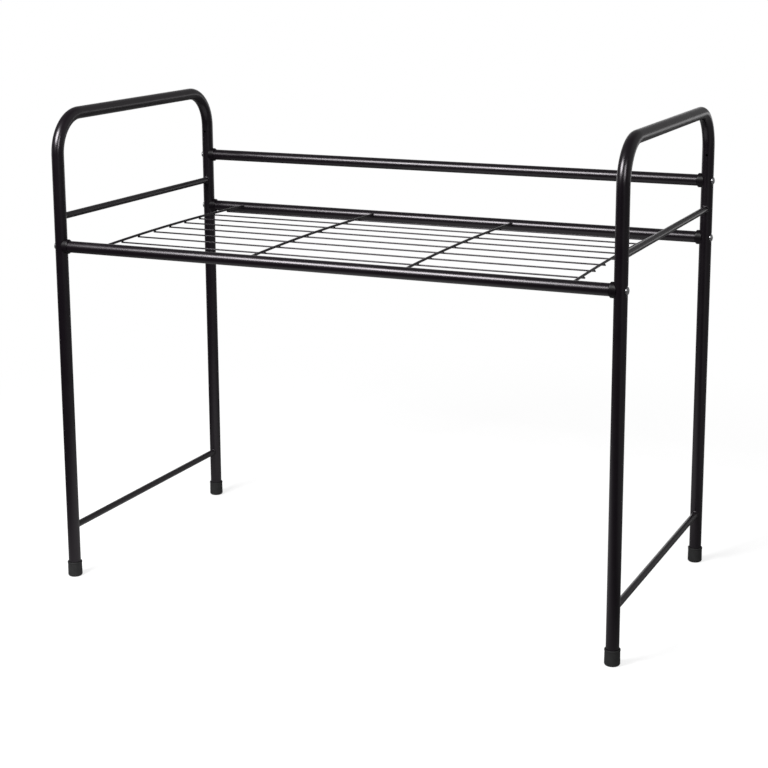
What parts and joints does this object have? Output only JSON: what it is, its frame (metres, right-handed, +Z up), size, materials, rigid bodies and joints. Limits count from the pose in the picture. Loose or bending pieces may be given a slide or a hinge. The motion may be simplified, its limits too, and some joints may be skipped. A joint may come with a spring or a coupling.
{
  "type": "metal shelf organizer",
  "caption": "Free-standing rack of black bent tube with one raised wire shelf, a rear guard rail and rubber feet.",
  "frame": {"origin": "on the floor, at the middle of the four feet", "axes": "+Z up, +X to the right along the rails, -Y towards the front"},
  "size_m": [0.7632, 0.4012, 0.621],
  "materials": {
    "tube_coat": "black powder coat on steel tube, satin to glossy",
    "wire_coat": "black powder coat on steel wire",
    "cap_plastic": "black moulded plastic, semi-gloss",
    "foot_rubber": "black rubber, dull",
    "bright_steel": "bright plated steel"
  },
  "bodies": {
    "root": {"deck_cross_wire_1": "wire_coat", "deck_cross_wire_2": "wire_coat", "deck_cross_wire_3": "wire_coat", "deck_cross_wire_4": "wire_coat", "deck_long_wire_1": "wire_coat", "deck_long_wire_2": "wire_coat", "deck_long_wire_3": "wire_coat", "deck_long_wire_4": "wire_coat", "deck_long_wire_5": "wire_coat", "deck_long_wire_6": "wire_coat", "deck_long_wire_7": "wire_coat", "deck_long_wire_8": "wire_coat", "front_left_foot_cap": "foot_rubber", "front_right_foot_cap": "foot_rubber", "front_shelf_rail": "tube_coat", "front_shelf_rail_left_end_cap": "cap_plastic", "front_shelf_rail_left_nut": "bright_steel", "front_shelf_rail_left_screw": "bright_steel", "front_shelf_rail_right_end_cap": "cap_plastic", "front_shelf_rail_right_nut": "bright_steel", "front_shelf_rail_right_screw": "bright_steel", "left_lower_side_rod": "tube_coat", "left_side_tube": "tube_coat", "left_upper_side_rod": "tube_coat", "rear_guard_rail": "tube_coat", "rear_guard_rail_left_end_cap": "cap_plastic", "rear_guard_rail_left_nut": "bright_steel", "rear_guard_rail_left_screw": "bright_steel", "rear_guard_rail_right_end_cap": "cap_plastic", "rear_guard_rail_right_nut": "bright_steel", "rear_guard_rail_right_screw": "bright_steel", "rear_left_foot_cap": "foot_rubber", "rear_right_foot_cap": "foot_rubber", "rear_shelf_rail": "tube_coat", "rear_shelf_rail_left_end_cap": "cap_plastic", "rear_shelf_rail_left_nut": "bright_steel", "rear_shelf_rail_left_screw": "bright_steel", "rear_shelf_rail_right_end_cap": "cap_plastic", "rear_shelf_rail_right_nut": "bright_steel", "rear_shelf_rail_right_screw": "bright_steel", "right_lower_side_rod": "tube_coat", "right_side_tube": "tube_coat", "right_upper_side_rod": "tube_coat"}
  },
  "joints": []
}
